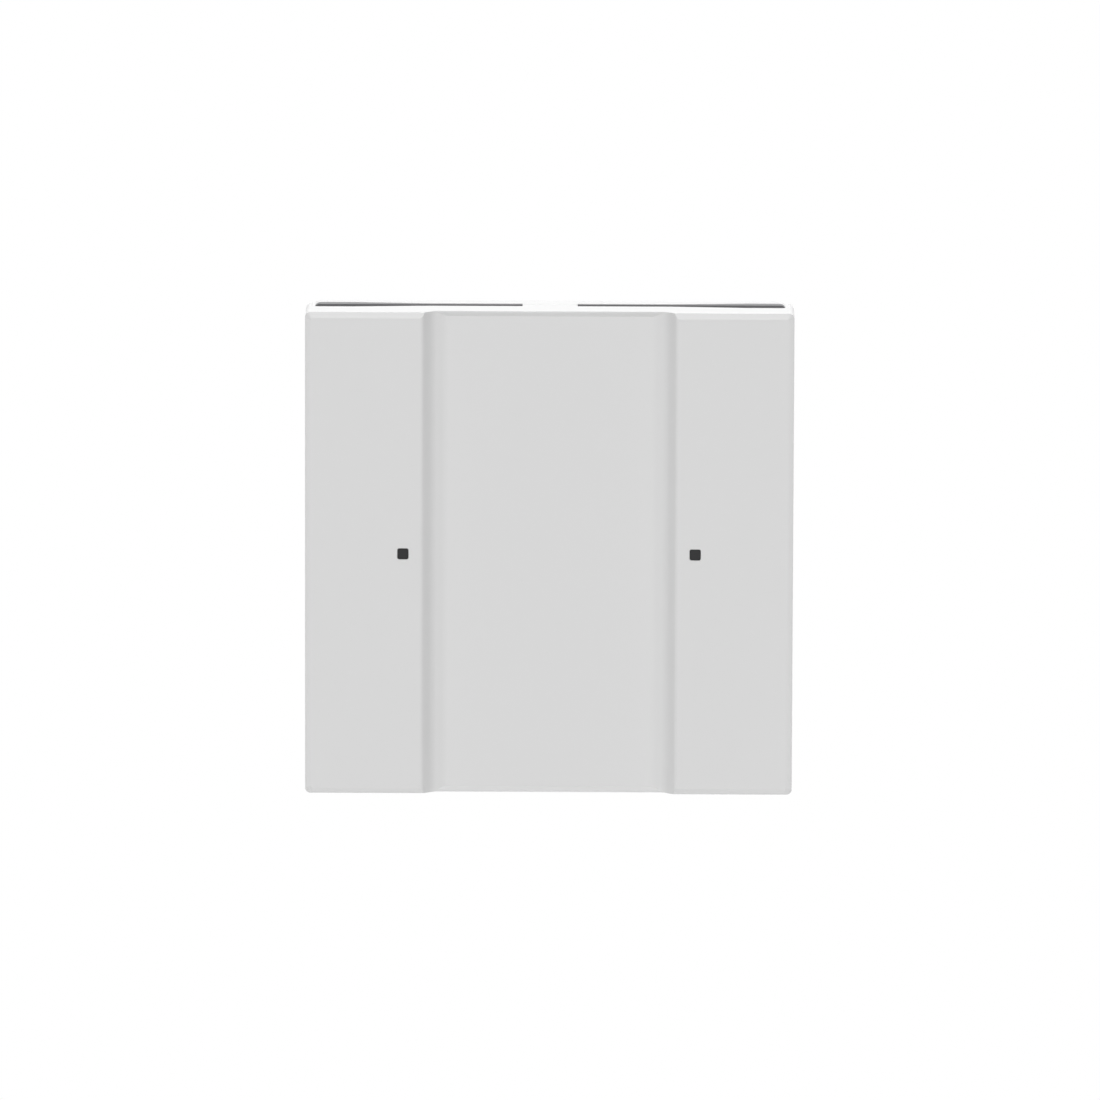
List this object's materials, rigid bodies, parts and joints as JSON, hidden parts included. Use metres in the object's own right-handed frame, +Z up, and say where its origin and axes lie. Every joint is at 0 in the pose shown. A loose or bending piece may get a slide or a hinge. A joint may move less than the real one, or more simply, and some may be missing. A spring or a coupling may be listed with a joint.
{
  "type": "touch switch",
  "caption": "Square white push-button front that rocks left and right, with a sunk middle panel, a status window in each raised strip and a plug at the back.",
  "frame": {"origin": "centre of the flange's rear face, which lies against the carrier ring of the wall box", "axes": "+X to the right seen from the front, +Y into the wall, +Z up"},
  "size_m": [0.063, 0.0264, 0.063],
  "materials": {
    "white_gloss": "satin to gloss white thermoplastic",
    "grey_plastic": "fine matt",
    "dark_plastic": "fine matt",
    "light_grey_plastic": "fine matt",
    "board": "solder mask over glass laminate",
    "black_plastic": "matt",
    "natural_plastic": "smooth",
    "smoked_guide": "smoked clear plastic, polished ends",
    "gold_pins": "plated",
    "capacitor_can": "drawn can",
    "screw_steel": "zinc plated",
    "pin_steel": "ground",
    "spring_steel": "rolled spring steel",
    "led_lens": "clear lens",
    "pad_rubber": "soft elastomer"
  },
  "bodies": {
    "base": {"base_frame": "white_gloss", "mechanism_plate": "dark_plastic", "rear_housing": "light_grey_plastic", "circuit_board": "board", "connector_body": "black_plastic", "connector_pins": "gold_pins", "controller_chip": "black_plastic", "transceiver_chip": "black_plastic", "capacitors": "capacitor_can", "frame_screws": "screw_steel", "stop_pads": "pad_rubber", "hinge_pin_upper": "pin_steel", "hinge_pin_lower": "pin_steel", "switch_body_left": "black_plastic", "switch_cover_left": "pin_steel", "led_left": "led_lens", "light_shield_left": "black_plastic", "retaining_clip_left": "spring_steel", "switch_body_right": "black_plastic", "switch_cover_right": "pin_steel", "led_right": "led_lens", "light_shield_right": "black_plastic", "retaining_clip_right": "spring_steel", "return_spring_upper_left": "spring_steel", "return_spring_upper_right": "spring_steel", "return_spring_lower_left": "spring_steel", "return_spring_lower_right": "spring_steel"},
    "rocker": {"rocker_cover": "white_gloss", "rocker_carrier": "grey_plastic", "light_guide_left": "smoked_guide", "light_guide_right": "smoked_guide"},
    "plunger_left_body": {"plunger_left": "natural_plastic", "switch_stem_left": "black_plastic"},
    "plunger_right_body": {"plunger_right": "natural_plastic", "switch_stem_right": "black_plastic"}
  },
  "joints": [
    {"name": "rocker_tilt", "type": "hinge", "parent": "base", "child": "rocker", "pos_m": [0, -0.0049, 0], "axis": [0, 0, 1], "range_deg": [-2, 2], "stiffness_Nm_per_rad": 2.4, "deforming": ["return_spring_upper_left", "return_spring_upper_right", "return_spring_lower_left", "return_spring_lower_right"]},
    {"name": "plunger_right_travel", "type": "slide", "parent": "base", "child": "plunger_right_body", "axis": [0, 1, 0], "range_m": [-0.0005, 0.0005]},
    {"name": "plunger_left_travel", "type": "slide", "parent": "base", "child": "plunger_left_body", "axis": [0, 1, 0], "range_m": [-0.0005, 0.0005]}
  ],
  "couplings": [
    {"joint": "plunger_right_travel", "follows": "rocker_tilt", "m_per_rad": 0.014},
    {"joint": "plunger_left_travel", "follows": "rocker_tilt", "m_per_rad": -0.014}
  ]
}
